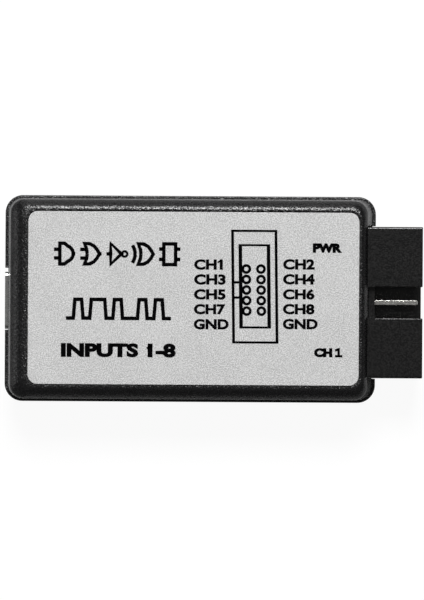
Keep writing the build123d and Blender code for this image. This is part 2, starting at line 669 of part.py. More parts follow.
def lamp_lens(y):
    """A clear block moulded on the middle of the lamp's carrier."""
    (side, height, rounding), low = LENS, LED[2]
    lens = block(-side / 2, side / 2, -side / 2, side / 2, low, low + height)
    lens = fillet(lens.edges().group_by(Axis.Z)[-1], rounding)
    return turned(lens, "y", LED_X, y)


# ---------------------------------------------------------------- export
def parts():
    """Node name to shape, for the whole object."""
    ports = Pos(0, PORTS_Y, 0)
    made = {
        "lower_shell": lower_shell(),
        "upper_shell": upper_shell(),
        "top_label": top_label(),
        "circuit_board": circuit_board(),
        "header_shroud": ports * header_shroud(),
        "header_pins": ports * header_pins(),
        "header_solder_joints": ports * header_solder_joints(),
        "usb_shell": ports * usb_shell(),
        "usb_insulator": ports * usb_insulator(),
        "usb_contacts": ports * usb_contacts(),
        "microcontroller_body": chip_body(**MICROCONTROLLER),
        "microcontroller_leads": chip_leads(MICROCONTROLLER, *MICROCONTROLLER_LEADS),
        "buffer_body": chip_body(**BUFFER),
        "buffer_leads": chip_leads(BUFFER, *BUFFER_LEADS),
        "memory_body": chip_body(**MEMORY),
        "memory_leads": chip_leads(MEMORY, *MEMORY_LEADS),
        "regulator_body": package(REGULATOR_AT, *REGULATOR_SIZE, REGULATOR_BEVEL),
        "regulator_leads": regulator_leads(),
        "crystal_can": crystal_can(),
        "crystal_base": crystal_base(),
        "crystal_leads": crystal_leads(),
        "power_lamp_base": lamp_base(POWER_LED_Y),
        "power_lamp_lens": lamp_lens(POWER_LED_Y),
        "channel_lamp_base": lamp_base(CHANNEL_LED_Y),
        "channel_lamp_lens": lamp_lens(CHANNEL_LED_Y),
        "lamp_terminals": lamp_terminals(),
    }
    made.update(two_terminal_parts())
    return made


os.makedirs("parts", exist_ok=True)
for name, shape in parts().items():
    export_step(shape, f"parts/{name}.step")
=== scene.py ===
"""The pocket logic analyzer's looks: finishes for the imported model, the label's print, the circuit board's
copper and legend, a white table, soft lights and the camera.

Blender works in metres. Sizes and places here are in millimetres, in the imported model's frame.
"""

import json
import math

import bpy
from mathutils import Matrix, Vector


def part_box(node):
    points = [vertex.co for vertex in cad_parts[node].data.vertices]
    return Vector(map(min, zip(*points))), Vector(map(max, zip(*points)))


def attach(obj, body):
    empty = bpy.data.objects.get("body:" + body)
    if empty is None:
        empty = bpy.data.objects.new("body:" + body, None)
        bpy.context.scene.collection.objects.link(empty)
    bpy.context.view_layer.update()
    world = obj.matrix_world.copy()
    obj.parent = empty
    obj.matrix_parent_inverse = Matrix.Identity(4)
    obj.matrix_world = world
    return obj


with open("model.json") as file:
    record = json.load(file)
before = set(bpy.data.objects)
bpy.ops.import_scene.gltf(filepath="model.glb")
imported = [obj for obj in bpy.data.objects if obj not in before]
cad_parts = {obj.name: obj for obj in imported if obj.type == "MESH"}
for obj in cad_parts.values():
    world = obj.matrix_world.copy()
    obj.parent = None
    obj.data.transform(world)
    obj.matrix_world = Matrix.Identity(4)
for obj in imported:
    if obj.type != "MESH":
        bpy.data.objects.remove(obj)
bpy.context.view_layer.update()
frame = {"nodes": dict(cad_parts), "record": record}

MM = 0.001
NODES = frame["nodes"]


def low_and_high(*nodes):
    """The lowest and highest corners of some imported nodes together, in millimetres."""
    boxes = [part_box(node) for node in nodes]
    low = Vector([min(box[0][i] for box in boxes) for i in range(3)])
    high = Vector([max(box[1][i] for box in boxes) for i in range(3)])
    return low / MM, high / MM


# ================================================================ materials
BEVEL_SAMPLES = 6


def new_finish(name, colour, roughness, metallic=0.0):
    """A Principled material, with its shader node."""
    made = bpy.data.materials.new(name)
    made.use_nodes = True
    shader = made.node_tree.nodes["Principled BSDF"]
    shader.inputs["Base Color"].default_value = (*colour, 1.0)
    shader.inputs["Roughness"].default_value = roughness
    shader.inputs["Metallic"].default_value = metallic
    return made, shader


def noise(made, size, detail=2.0, stretch=(1.0, 1.0, 1.0)):
    """A noise field with features `size` millimetres across, drawn out along each axis by `stretch`."""
    nodes, links = made.node_tree.nodes, made.node_tree.links
    place = nodes.new("ShaderNodeTexCoord")
    scaled = nodes.new("ShaderNodeMapping")
    scaled.inputs["Scale"].default_value = [1.0 / (size * MM * s) for s in stretch]
    field = nodes.new("ShaderNodeTexNoise")
    field.inputs["Scale"].default_value = 1.0
    field.inputs["Detail"].default_value = detail
    links.new(place.outputs["Object"], scaled.inputs["Vector"])
    links.new(scaled.outputs["Vector"], field.inputs["Vector"])
    return field.outputs["Fac"]


def cells(made, size):
    """A field of cells about `size` millimetres across: the distance to each cell's middle."""
    nodes, links = made.node_tree.nodes, made.node_tree.links
    place = nodes.new("ShaderNodeTexCoord")
    field = nodes.new("ShaderNodeTexVoronoi")
    field.inputs["Scale"].default_value = 1.0 / (size * MM)
    links.new(place.outputs["Object"], field.inputs["Vector"])
    return field.outputs["Distance"]


def spread(made, value, low=0.0, high=1.0, start=0.35, stop=0.65):
    """Maps a field's range start..stop onto low..high."""
    node = made.node_tree.nodes.new("ShaderNodeMapRange")
    node.inputs["From Min"].default_value = start
    node.inputs["From Max"].default_value = stop
    node.inputs["To Min"].default_value = low
    node.inputs["To Max"].default_value = high
    made.node_tree.links.new(value, node.inputs["Value"])
    return node.outputs["Result"]


def added(made, first, second, share):
    """first + second * share."""
    node = made.node_tree.nodes.new("ShaderNodeMath")
    node.operation = "MULTIPLY_ADD"
    node.inputs[1].default_value = share
    made.node_tree.links.new(second, node.inputs[0])
    made.node_tree.links.new(first, node.inputs[2])
    return node.outputs["Value"]


def tint(made, shader, value, low, high):
    """Base colour from `low` to `high` as value goes from 0 to 1."""
    node = made.node_tree.nodes.new("ShaderNodeMix")
    node.data_type = "RGBA"
    first, second = [socket for socket in node.inputs if socket.type == "RGBA"]
    first.default_value = (*low, 1.0)
    second.default_value = (*high, 1.0)
    made.node_tree.links.new(value, node.inputs["Factor"])
    result = next(socket for socket in node.outputs if socket.type == "RGBA")
    made.node_tree.links.new(result, shader.inputs["Base Color"])


def roughen(made, shader, value, low, high):
    """Roughness from `low` to `high` over the middle of a field's range."""
    made.node_tree.links.new(spread(made, value, low, high), shader.inputs["Roughness"])


def relief(made, shader, height, depth, edge=0.0):
    """Bump, `depth` millimetres between a height of 0 and 1, over sharp edges that look rounded to `edge`."""
    node = made.node_tree.nodes.new("ShaderNodeBump")
    node.inputs["Distance"].default_value = depth * MM
    made.node_tree.links.new(height, node.inputs["Height"])
    made.node_tree.links.new(node.outputs["Normal"], shader.inputs["Normal"])
    if edge:
        rounded = made.node_tree.nodes.new("ShaderNodeBevel")
        rounded.samples = BEVEL_SAMPLES
        rounded.inputs["Radius"].default_value = edge * MM
        made.node_tree.links.new(rounded.outputs["Normal"], node.inputs["Normal"])


def case_plastic():
    """Black ABS from a spark-eroded mould: a fine grain that sparkles, a little uneven."""
    made, shader = new_finish("case_plastic", (0.0068, 0.0068, 0.0072), roughness=0.3)
    fine = noise(made, size=0.17, detail=0.0)
    broad = noise(made, size=3.0)
    pits = cells(made, size=0.28)
    mixed = spread(made, added(made, fine, broad, share=0.35), start=0.5, stop=0.85)
    tint(made, shader, mixed, (0.0052, 0.0052, 0.0054), (0.0086, 0.0084, 0.0089))
    roughen(made, shader, fine, low=0.17, high=0.31)
    relief(made, shader, added(made, fine, pits, share=0.5), depth=0.036)
    return made


def header_plastic():
    """Black glass-filled polyester: smoother than the case, with faint flow marks."""
    made, shader = new_finish("header_plastic", (0.006, 0.006, 0.0062), roughness=0.22)
    flow = noise(made, size=1.6, detail=3.0, stretch=(3.0, 1.0, 1.0))
    fine = noise(made, size=0.16, detail=0.0)
    grain = added(made, fine, flow, share=0.4)
    shade = spread(made, grain, start=0.5, stop=0.9)
    tint(made, shader, shade, (0.0012, 0.0012, 0.0014), (0.0062, 0.0059, 0.0057))
    roughen(made, shader, fine, low=0.19, high=0.265)
    relief(made, shader, grain, depth=0.009)
    return made


def label_film():
    """Matt silver-grey film with a fine grain."""
    made, shader = new_finish("label_film", (0.56, 0.56, 0.56), roughness=0.5)
    fine = noise(made, size=0.13, detail=0.0)
    broad = noise(made, size=5.0)
    mixed = spread(made, added(made, fine, broad, share=0.1), start=0.28, stop=0.82)
    tint(made, shader, mixed, (0.36, 0.36, 0.358), (0.76, 0.76, 0.758))
    roughen(made, shader, fine, low=0.42, high=0.56)
    relief(made, shader, fine, depth=0.012)
    return made


def moulded(name, dark, light, roughness, size=0.15, depth=0.012, gloss=0.5):
    """A small moulded, fired or printed surface: an even grain between two near shades."""
    made, shader = new_finish(name, light, roughness)
    shader.inputs["Specular IOR Level"].default_value = gloss
    grain = noise(made, size, detail=3.0)
    tint(made, shader, spread(made, grain), dark, light)
    roughen(made, shader, grain, low=roughness - 0.06, high=roughness + 0.06)
    relief(made, shader, grain, depth)
    return made


def lens(name, dark, light):
    """Clear tinted resin."""
    made, shader = new_finish(name, light, roughness=0.12)
    shader.inputs["Transmission Weight"].default_value = 0.55
    shader.inputs["IOR"].default_value = 1.52
    cloud = noise(made, size=0.5)
    tint(made, shader, spread(made, cloud), dark, light)
    relief(made, shader, cloud, depth=0.01)
    return made


EVEN = (1.0, 1.0, 1.0)
ALONG_X = (12.0, 1.0, 1.0)
ALONG_Y = (1.0, 6.0, 1.0)


def drawn_metal(name, dark, light, roughness, stretch=ALONG_X, size=0.05, depth=0.0008, edge=0.05):
    """Plated metal with fine marks, drawn out along each axis by `stretch`, and edges that look rounded."""
    made, shader = new_finish(name, light, roughness, metallic=1.0)
    marks = noise(made, size, detail=3.0, stretch=stretch)
    cloud = noise(made, size=1.1)
    mixed = spread(made, added(made, marks, cloud, share=0.6), start=0.55, stop=1.05)
    tint(made, shader, mixed, dark, light)
    roughen(made, shader, marks, low=roughness - 0.03, high=roughness + 0.04)
    relief(made, shader, marks, depth, edge)
    return made


def board_laminate():
    """Green solder mask over woven glass, with the weave just showing."""
    made, shader = new_finish("board_laminate", (0.013, 0.08, 0.033), roughness=0.28)
    warp = noise(made, size=0.35, detail=1.0, stretch=(1.0, 5.0, 1.0))
    weft = noise(made, size=0.35, detail=1.0, stretch=(5.0, 1.0, 1.0))
    weave = added(made, warp, weft, share=1.0)
    shade = spread(made, weave, start=0.7, stop=1.3)
    tint(made, shader, shade, (0.009, 0.06, 0.025), (0.016, 0.09, 0.038))
    roughen(made, shader, noise(made, size=0.5), low=0.22, high=0.36)
    relief(made, shader, weave, depth=0.006)
    return made


FINISHES = {
    "case_plastic": case_plastic(),
    "label_film": label_film(),
    "board_laminate": board_laminate(),
    "header_plastic": header_plastic(),
    "pin_metal": drawn_metal("pin_metal", (0.36, 0.35, 0.33), (0.62, 0.61, 0.58), 0.24, edge=0.16),
    "solder": drawn_metal("solder", (0.5, 0.5, 0.5), (0.78, 0.78, 0.77), 0.2, EVEN, size=0.5, depth=0.03),
    "port_steel": drawn_metal("port_steel", (0.45, 0.45, 0.44), (0.72, 0.72, 0.7), 0.2),
    "port_plastic": moulded("port_plastic", (0.009, 0.009, 0.009), (0.02, 0.02, 0.019), 0.5),
    "contact_gold": drawn_metal("contact_gold", (0.6, 0.4, 0.14), (0.86, 0.62, 0.26), 0.2),
    "chip_epoxy": moulded("chip_epoxy", (0.011, 0.011, 0.012), (0.024, 0.024, 0.025), 0.55),
    "lead_metal": drawn_metal("lead_metal", (0.48, 0.48, 0.47), (0.76, 0.76, 0.74), 0.26, (3.0, 3.0, 1.0)),
    "crystal_steel": drawn_metal("crystal_steel", (0.55, 0.54, 0.52), (0.8, 0.79, 0.77), 0.2, ALONG_Y),
    "crystal_seat": moulded("crystal_seat", (0.01, 0.01, 0.01), (0.022, 0.022, 0.022), 0.6),
    "lamp_carrier": moulded("lamp_carrier", (0.55, 0.55, 0.5), (0.72, 0.72, 0.68), 0.5),
    "power_lens": lens("power_lens", (0.62, 0.05, 0.03), (0.85, 0.16, 0.1)),
    "channel_lens": lens("channel_lens", (0.1, 0.5, 0.1), (0.3, 0.78, 0.25)),
    "end_cap_metal": drawn_metal("end_cap_metal", (0.52, 0.52, 0.51), (0.8, 0.8, 0.79), 0.26, EVEN, size=0.2),
    "resistor_black": moulded("resistor_black", (0.012, 0.012, 0.014), (0.024, 0.024, 0.028), 0.3),
    "ceramic_tan": moulded("ceramic_tan", (0.26, 0.16, 0.085), (0.38, 0.25, 0.14), 0.5),
    "tantalum_yellow": moulded("tantalum_yellow", (0.55, 0.29, 0.02), (0.76, 0.45, 0.045), 0.45),
    "fuse_green": moulded("fuse_green", (0.012, 0.1, 0.035), (0.03, 0.17, 0.06), 0.45),
}
INK_GRAIN = {"roughness": 0.5, "size": 0.1, "depth": 0.004}
BLACK_INK = moulded("black_ink", (0.0014, 0.0014, 0.0016), (0.0032, 0.0032, 0.0036), gloss=0.0, **INK_GRAIN)
WHITE_INK = moulded("white_ink", (0.72, 0.72, 0.7), (0.86, 0.86, 0.84), **INK_GRAIN)
BROWN_INK = moulded("brown_ink", (0.09, 0.03, 0.015), (0.14, 0.05, 0.025), **INK_GRAIN)
MASKED_COPPER = moulded(
    "masked_copper", (0.022, 0.13, 0.05), (0.034, 0.18, 0.07), roughness=0.26, size=0.4, depth=0.004
)


def give_finishes():
    """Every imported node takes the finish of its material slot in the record."""
    for part in frame["record"]["subparts"]:
        mesh = NODES[part["node"]].data
        mesh.materials.clear()
        mesh.materials.append(FINISHES[part["material_slot"]])


# ================================================================ prints
POINT_DIGITS = 4  # points that agree to this many decimals of a millimetre are one point
SHARPEST_MITRE = 0.62  # cosine of half the turn, past which a corner is cut short
FLAG_ENDS = [(1.0, 0.6), (3.2, 2.0)]  # in strokes, left of and below the figure's top right corner
LETTER_STEPS = 4
ARC_STEP = 13.0  # degrees
FEWEST_ARC_STEPS = 4


class Print:
    """Flat shapes on one level surface, made into one thin closed piece. Points are in millimetres."""

    def __init__(self):
        self.points = []
        self.faces = []

    def add(self, polygons):
        """Adds one shape: anticlockwise polygons, which share the points that coincide.

        Thickened lettering has a few small polygons that lie over others. They repeat an edge, and are
        left out.
        """
        known, used = {}, set()
        for polygon in sorted(polygons, key=doubled_area, reverse=True):
            face = []
            for x, y in polygon:
                key = (round(x, POINT_DIGITS), round(y, POINT_DIGITS))
                if key not in known:
                    known[key] = len(self.points)
                    self.points.append((x, y))
                if known[key] not in face:
                    face.append(known[key])
            edges = set(zip(face, [*face[1:], face[0]]))
            if len(face) > 2 and not edges & used:
                used |= edges
                self.faces.append(face)

    def strip(self, left, right):
        """A band between two rows of points."""
        pairs = list(zip(left, right))
        quads = [(a, b, d, c) for (a, b), (c, d) in zip(pairs, pairs[1:])]
        self.add([quad if doubled_area(quad) > 0 else quad[::-1] for quad in quads])

    def loop(self, outer, inner):
        """A closed band between two outlines."""
        self.strip([*outer, outer[0]], [*inner, inner[0]])

    def rectangle(self, x0, y0, x1, y1):
        self.add([corners(x0, y0, x1, y1)])

    def disc(self, x, y, radius):
        self.add([arc(x, y, radius, 0, 360)[:-1]])

    def ring(self, x, y, outer, inner):
        self.strip(arc(x, y, outer, 0, 360), arc(x, y, inner, 0, 360))

    def line(self, points, width):
        """A line of one width through the points, with mitred corners, cut short where they are sharp."""
        points = [Vector(p) for p in points]
        ways = [(b - a).normalized() for a, b in zip(points, points[1:])]
        left, right = [], []
        for i, point in enumerate(points):
            before, after = ways[max(i - 1, 0)], ways[min(i, len(ways) - 1)]
            side = (before + after).orthogonal().normalized()
            reach = side * (width / 2 / max(side.dot(after.orthogonal()), SHARPEST_MITRE))
            left.append(tuple(point + reach))
            right.append(tuple(point - reach))
        self.strip(left, right)

    def flag(self, corner, stroke):
        """The flag of a figure 1 whose top right corner is given."""
        x, y = corner
        self.line([(x - stroke * left, y - stroke * down) for left, down in FLAG_ENDS], stroke)

    def text(self, words, middle, size, weight):
        """Lettering that fills a box of that size about its middle. Weight thickens the strokes."""
        curve = bpy.data.curves.new("lettering", "FONT")
        curve.body = words
        curve.offset = weight
        curve.resolution_u = LETTER_STEPS
        holder = bpy.data.objects.new("lettering", curve)
        flat = bpy.data.meshes.new_from_object(holder)
        spots = [vertex.co.xy for vertex in flat.vertices]
        low = [min(spot[i] for spot in spots) for i in (0, 1)]
        high = [max(spot[i] for spot in spots) for i in (0, 1)]

        def placed(spot):
            """A point of the font's lettering, fitted to the box."""
            shares = [(spot[i] - low[i]) / (high[i] - low[i]) - 0.5 for i in (0, 1)]
            return tuple(middle[i] + shares[i] * size[i] for i in (0, 1))

        self.add([[placed(spots[i]) for i in polygon.vertices] for polygon in flat.polygons])
        bpy.data.objects.remove(holder)
        bpy.data.curves.remove(curve)
        bpy.data.meshes.remove(flat)

    def piece(self, name, at, thickness, finish, body, slot):
        """Closes the shapes into one mesh, `thickness` tall above the point `at`."""
        count = len(self.points)
        vertices = [((at[0] + x) * MM, (at[1] + y) * MM, at[2] * MM) for x, y in self.points]
        vertices += [(x, y, z + thickness * MM) for x, y, z in vertices]
        edges = {(a, b) for face in self.faces for a, b in zip(face, [*face[1:], face[0]])}
        walls = [(a, b, b + count, a + count) for a, b in sorted(edges) if (b, a) not in edges]
        floors = [face[::-1] for face in self.faces]
        roofs = [[i + count for i in face] for face in self.faces]
        mesh = bpy.data.meshes.new(name)
        mesh.from_pydata(vertices, [], floors + roofs + walls)
        mesh.materials.append(finish)
        made = bpy.data.objects.new(name, mesh)
        bpy.context.scene.collection.objects.link(made)
        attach(made, body)


def doubled_area(polygon):
    """Twice a polygon's area, negative where it runs clockwise."""
    ends = zip(polygon, [*polygon[1:], polygon[0]])
    return sum(a[0] * b[1] - b[0] * a[1] for a, b in ends)


def corners(x0, y0, x1, y1):
    return [(x0, y0), (x1, y0), (x1, y1), (x0, y1)]


def arc(x, y, radius, start, stop):
    """Points on an arc between two angles in degrees."""
    steps = max(FEWEST_ARC_STEPS, round(abs(stop - start) / ARC_STEP))
    turns = [math.radians(start + (stop - start) * i / steps) for i in range(steps + 1)]
    return [(x + radius * math.cos(t), y + radius * math.sin(t)) for t in turns]


def mirrored(points):
    """The points flipped top to bottom, in the opposite order."""
    return [(x, -y) for x, y in points[::-1]]


# ================================================================ label
# Places on the label are measured from its middle.
INK = 0.02  # thickness of a print
MIDDLE_OF_FIVE = 2
GATES_AT = (-10.27, 5.9)  # the third symbol's middle
GATE_PITCH = 3.52
GATE_SIZE = (3.35, 3.25)
GATE_STROKE = 0.48
BUBBLE = (0.7, 0.36, 0.13)  # the inverter's ring: place and radii, where a symbol's half width is 1
WAVE_AT = (-10.05, -1.47)
WAVE_HEIGHT = 3.0
WAVE_SLANT = 0.1
WAVE_STROKE = 0.49
WAVE_STEPS = [1.2, 1.1, 1.1, 2.0, 1.1, 1.1, 2.2, 1.1, 1.1, 1.1, 1.2]
# words, middle, size
CAPTION = ("INPUTS 1-8", (-10.04, -7.01), (15.4, 1.9))
CAPTION_WEIGHT = 0.058
CAPTION_FLAG = ((-5.26, -6.15), 0.3)  # top right corner of the caption's figure 1, and the stroke of its flag
PIN_ROW_PITCH = 2.0
PIN_ROW_Y = [PIN_ROW_PITCH * (MIDDLE_OF_FIVE - i) for i in range(5)]  # from the middle row
PIN_COLUMNS = [(0.05, 0.55), (11.98, 0.64)]  # each column's left edge, and its middle row's height
PIN_NAMES = [("CH1", "CH2"), ("CH3", "CH4"), ("CH5", "CH6"), ("CH7", "CH8"), ("GND", "GND")]
PIN_NAME_HEIGHT = 1.42
PIN_NAME_WIDTH = {"CH1": 3.85, "GND": 4.7}
USUAL_NAME_WIDTH = 4.25
PIN_NAME_WEIGHT = 0.048
PIN_FLAG_STROKE = 0.22
# words, middle, size
LAMP_NAMES = [("PWR", (17.92, 6.85), (3.95, 1.28)), ("CH", (17.42, -7.17), (2.45, 1.24))]
LAMP_NAME_WEIGHT = 0.08
DIGIT_ONE = ((19.5, -7.17), (1.0, 1.24), 0.32)  # middle, size and stroke
DIAGRAM_AT = (8.2, 1.62)
DIAGRAM_OUTER = (6.2, 15.25)
DIAGRAM_INNER = (4.25, 11.3)
INNER_RISE = 0.05
OUTER_LINES = (0.38, 0.3)  # widths of the upright and level lines
INNER_LINES = (0.48, 0.28)
DIAGRAM_LEAN = 0.016  # the print is askew: shift to the right for each millimetre down
RING_X = (-1.11, 0.85)
RING_TOP = 2.37
RING_PITCH = 1.41
RING_Y = [RING_TOP - RING_PITCH * i for i in range(5)]
RING_RADII = (0.66, 0.29)
KEY_Y = (0.57, -1.47)  # the key slot's two edges
KEY_LINE = 0.32


def gate_symbols():
    """Five standard logic symbols, each as lines in a square from -1 to 1, left to right."""
    inlets = [[(-1, y), (-0.45, y)] for y in (0.42, -0.42)]
    outlet = [(0.75, 0), (1, 0)]
    half_and = [(-0.45, 0), (-0.45, 1), (0, 1), *arc(0, 0, 0.8, 70, 0)]
    half_or = [(-0.35, 0), (-0.4, 0.45), (-0.6, 1), (-0.1, 0.97), (0.3, 0.75), (0.58, 0.4), (0.8, 0)]
    half_not = [(-0.6, 0), (-0.6, 1), (0.4, 0)]
    half_box = [(-0.55, 0), (-0.55, 1), (0.55, 1), (0.55, 0)]
    box_leads = [[(side * 0.55, y), (side, y)] for side in (-1, 1) for y in (-0.5, 0.5)]
    xor_front = [(x + 0.12, y) for x, y in whole(half_or)]
    xor_back = arc(-2.34, 0, 1.57, -33, 33)
    return {
        "and": [whole(half_and), *inlets, outlet],
        "or": [whole(half_or), *inlets, outlet],
        "not": [whole(half_not), [(-1, 0), (-0.6, 0)]],
        "xor": [xor_front, xor_back],
        "latch": [whole(half_box), *box_leads],
    }


def whole(half):
    """An outline from its upper half."""
    return [*half, *mirrored(half)[1:]]


def label_gates():
    """The heading: a row of logic symbols."""
    ink = Print()
    across, up = [(size - GATE_STROKE) / 2 for size in GATE_SIZE]
    for i, (kind, lines) in enumerate(gate_symbols().items()):
        x, y = GATES_AT[0] + (i - MIDDLE_OF_FIVE) * GATE_PITCH, GATES_AT[1]
        for line in lines:
            ink.line([(x + px * across, y + py * up) for px, py in line], GATE_STROKE)
        if kind == "not":
            along, outer, inner = [v * across for v in BUBBLE]
            ink.ring(x + along, y, outer, inner)
    return ink


def label_wave():
    """A train of pulses of uneven lengths."""
    ink = Print()
    x, y = WAVE_AT[0] - sum(WAVE_STEPS) / 2, WAVE_AT[1]
    level, points = -1, []
    for step in WAVE_STEPS:
        height = y + level * (WAVE_HEIGHT - WAVE_STROKE) / 2
        points += [(x + WAVE_SLANT, height), (x + step - WAVE_SLANT, height)]
        x, level = x + step, -level
    ink.line(points, WAVE_STROKE)
    return ink


def label_caption():
    """The bold line under the pulses."""
    ink = Print()
    ink.text(*CAPTION, CAPTION_WEIGHT)
    ink.flag(*CAPTION_FLAG)
    return ink


def label_pin_names():
    """The names of the header's pins, in a column each side of their diagram."""
    ink = Print()
    for names, y in zip(PIN_NAMES, PIN_ROW_Y):
        for name, (x, middle) in zip(names, PIN_COLUMNS):
            width = PIN_NAME_WIDTH.get(name, USUAL_NAME_WIDTH)
            ink.text(name, (x + width / 2, middle + y), (width, PIN_NAME_HEIGHT), PIN_NAME_WEIGHT)
            if name.endswith("1"):
                ink.flag((x + width, middle + y + PIN_NAME_HEIGHT / 2), PIN_FLAG_STROKE)
    return ink


def label_lamp_names():
    """The names of the two lamps. The figure 1 has a foot."""
    ink = Print()
    for name, at, size in LAMP_NAMES:
        ink.text(name, at, size, LAMP_NAME_WEIGHT)
    (x, y), (width, height), stroke = DIGIT_ONE
    foot, top = y - (height - stroke) / 2, y + height / 2
    ink.line([(x - width / 2, foot), (x + width / 2, foot)], stroke)
    ink.line([(x, foot), (x, top)], stroke)
    ink.line([(x - width / 2, top - stroke), (x, top - stroke / 2)], stroke)
    return ink


def leant(x, y):
    """A point of the pin diagram, from the diagram's middle, on the label."""
    return (DIAGRAM_AT[0] + x - DIAGRAM_LEAN * y, DIAGRAM_AT[1] + y)


def diagram_box(size, rise, inset=(0.0, 0.0)):
    """A box of the pin diagram, raised by `rise` and drawn in by `inset` across and up."""
    x, y = size[0] / 2 - inset[0], size[1] / 2 - inset[1]
    return [leant(*corner) for corner in corners(-x, rise - y, x, rise + y)]


def label_pin_diagram():
    """The box header seen from its mouth: shroud, cavity, key slot and ten pins."""
    ink = Print()
    boxes = [(DIAGRAM_OUTER, 0.0, OUTER_LINES), (DIAGRAM_INNER, INNER_RISE, INNER_LINES)]
    for size, rise, lines in boxes:
        ink.loop(diagram_box(size, rise), diagram_box(size, rise, lines))
    for y in KEY_Y:
        ink.line([leant(-DIAGRAM_OUTER[0] / 2, y), leant(-DIAGRAM_INNER[0] / 2, y)], KEY_LINE)
    for x in RING_X:
        for y in RING_Y:
            ink.ring(*leant(x, y), *RING_RADII)
    return ink


def print_label():
    low, high = low_and_high("top_label")
    at = ((low.x + high.x) / 2, (low.y + high.y) / 2, high.z)
    prints = {
        "label_gates": label_gates(),
        "label_wave": label_wave(),
        "label_caption": label_caption(),
        "label_pin_names": label_pin_names(),
        "label_pin_diagram": label_pin_diagram(),
        "label_lamp_names": label_lamp_names(),
    }
    for name, ink in prints.items():
        ink.piece(name, at, INK, BLACK_INK, "cover", "label_film")


# ================================================================ circuit board
BOARD_TOP = low_and_high("circuit_board")[1].z
BOARD_AT = (0.0, 0.0, BOARD_TOP)
STANDS_WITHIN = 0.01  # a face this near the board's top stands on it
FEET_DIGITS = 3
COLUMN_DIGITS = 2
PAD_MARGIN = 0.16
PAD_NODES = [
    "microcontroller_leads",
    "buffer_leads",
    "memory_leads",
    "regulator_leads",
    "crystal_leads",
    "usb_contacts",
    "lamp_terminals",
    "resistor_terminals",
    "ceramic_capacitor_terminals",
    "tantalum_capacitor_terminals",
    "resettable_fuse_terminals",
]
TRACE_THICKNESS = 0.01
FINE_TRACE = 0.2
BROAD_TRACE = 0.6
SLANT_SHARE = 0.7  # the most of a trace's run that its slanted part takes

# how many leads, end caps or contacts stand in one upright column
MICROCONTROLLER_COLUMN = 28
BUFFER_COLUMN = 10
RESISTOR_COLUMN = 8
MEMORY_COLUMN = 4
CONTACT_COLUMN = 5

CHANNELS = 8
MICROCONTROLLER_CHANNEL = 10  # the lead of the first channel, counted up its column from 0
BUFFER_CHANNEL = 1
# a port contact or a memory lead, and the microcontroller's lead that it is joined to
PORT_DATA = [(2, 13), (3, 14)]
MEMORY_DATA = [(1, 25), (2, 26)]
PAST_PIN = 1.2  # how far each side of a header pin a trace to the far row stays level
SUPPLY_BEND = 1.4
CONTACT_DROP = 1.2
FUSE_BEND = 0.7

PIN_PITCH = 2.54
PIN_SIDE = 0.64
PINS_IN_ROW = 5
HOLE_RADIUS = 0.5
HOLE_PAD_RADIUS = 0.85
VIA_RADII = (0.33, 0.15)
VIAS_AT = [
    (-22.6, -4.0), (-23.6, 4.6), (-21.9, 4.2), (-17.2, -6.9), (-15.0, -10.6), (-11.3, 4.6),
    (-7.2, -10.6), (-0.2, 10.6), (-0.2, -10.6), (4.3, 7.4), (4.3, -7.4), (5.0, 10.6), (5.0, -10.6),
    (9.4, 9.4), (9.4, -9.4), (12.2, 9.0), (12.2, -9.0), (18.2, 8.6), (18.2, -8.6), (4.6, 4.2),
]
LEGEND_GAP = 0.3
LEGEND_STROKE = 0.14
FIRST_PIN_DOT = 0.22
DOT_LEFT = 0.4  # of the outline
DOT_DOWN = 0.2  # from the chip's far edge
OUTLINED = [
    ("microcontroller_body", "microcontroller_leads"),
    ("buffer_body", "buffer_leads"),
    ("memory_body", "memory_leads"),
    ("regulator_body", "regulator_leads"),
    ("crystal_base", "crystal_leads"),
]
BRACKETED = ["resistor_bodies", "ceramic_capacitor_bodies", "tantalum_capacitor_bodies"]
BAND_WIDTH = 0.45


def feet(node):
    """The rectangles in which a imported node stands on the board, each as x0, y0, x1, y1."""
    mesh = NODES[node].data
    found = set()
    for polygon in mesh.polygons:
        spots = [mesh.vertices[i].co / MM for i in polygon.vertices]
        if all(abs(spot.z - BOARD_TOP) < STANDS_WITHIN for spot in spots):
            xs = [round(spot.x, FEET_DIGITS) for spot in spots]
            ys = [round(spot.y, FEET_DIGITS) for spot in spots]
            found.add((min(xs), min(ys), max(xs), max(ys)))
    return sorted(found)


def columns(node, count):
    """The middles of a node's feet, as the upright columns that have `count` feet, left to right."""
    found = {}
    for x0, y0, x1, y1 in feet(node):
        middle = ((x0 + x1) / 2, (y0 + y1) / 2)
        found.setdefault(round(middle[0], COLUMN_DIGITS), []).append(middle)
    by_height = [sorted(found[x], key=lambda middle: middle[1]) for x in sorted(found)]
    return [column for column in by_height if len(column) == count]


def jogged(start, stop):
    """A trace between two points: level, across at a slant, and level again."""
    run, rise = stop[0] - start[0], stop[1] - start[1]
    slant = min(abs(rise), abs(run) * SLANT_SHARE)
    level = math.copysign((abs(run) - slant) / 2, run)
    return [start, (start[0] + level, start[1]), (stop[0] - level, stop[1]), stop]


def header_holes():
    """The header's pins through the board: the row near the chips and the far one, each from low y up."""
    low, high = low_and_high("header_pins")
    near = low.x + PIN_SIDE / 2
    middle = (low.y + high.y) / 2
    ys = [middle + (i - (PINS_IN_ROW - 1) / 2) * PIN_PITCH for i in range(PINS_IN_ROW)]
    return [[(x, y) for y in ys] for x in (near, near + PIN_PITCH)]


